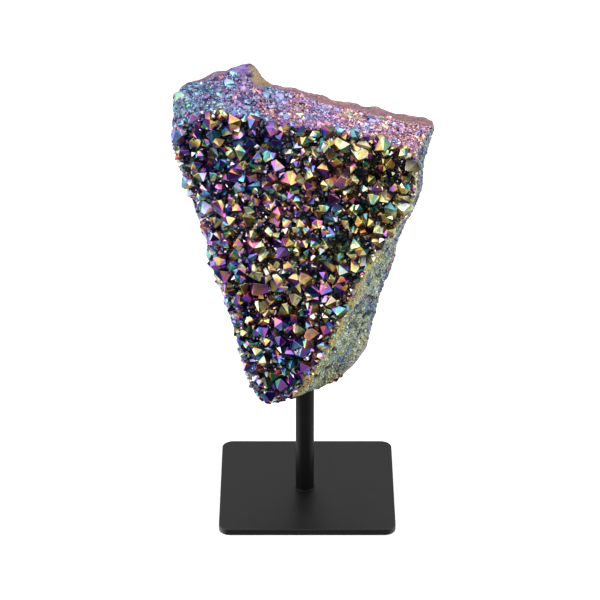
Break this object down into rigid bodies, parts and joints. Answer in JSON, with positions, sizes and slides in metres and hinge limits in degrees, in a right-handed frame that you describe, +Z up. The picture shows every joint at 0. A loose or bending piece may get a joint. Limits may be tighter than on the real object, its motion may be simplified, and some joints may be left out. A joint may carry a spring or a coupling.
{
  "type": "aura quartz geode",
  "caption": "Wedge of metal-coated quartz geode, crystal points on its front and rough rind on its side and back, held upright by a round black rod on a flat square base plate.",
  "frame": {"origin": "centre of the base plate's underside", "axes": "+Z up, +X to the right as the crystal face is looked at, +Y away from the viewer, to the back of the stone"},
  "size_m": [0.1084, 0.076, 0.1953],
  "materials": {
    "black_paint": "satin black powder coat on steel",
    "aura_film": "quartz under a thin iridescent metal film, mirror-bright on crystal faces and dull on the rind"
  },
  "bodies": {
    "root": {"base_plate": "black_paint", "rod": "black_paint", "geode": "aura_film"}
  },
  "joints": []
}
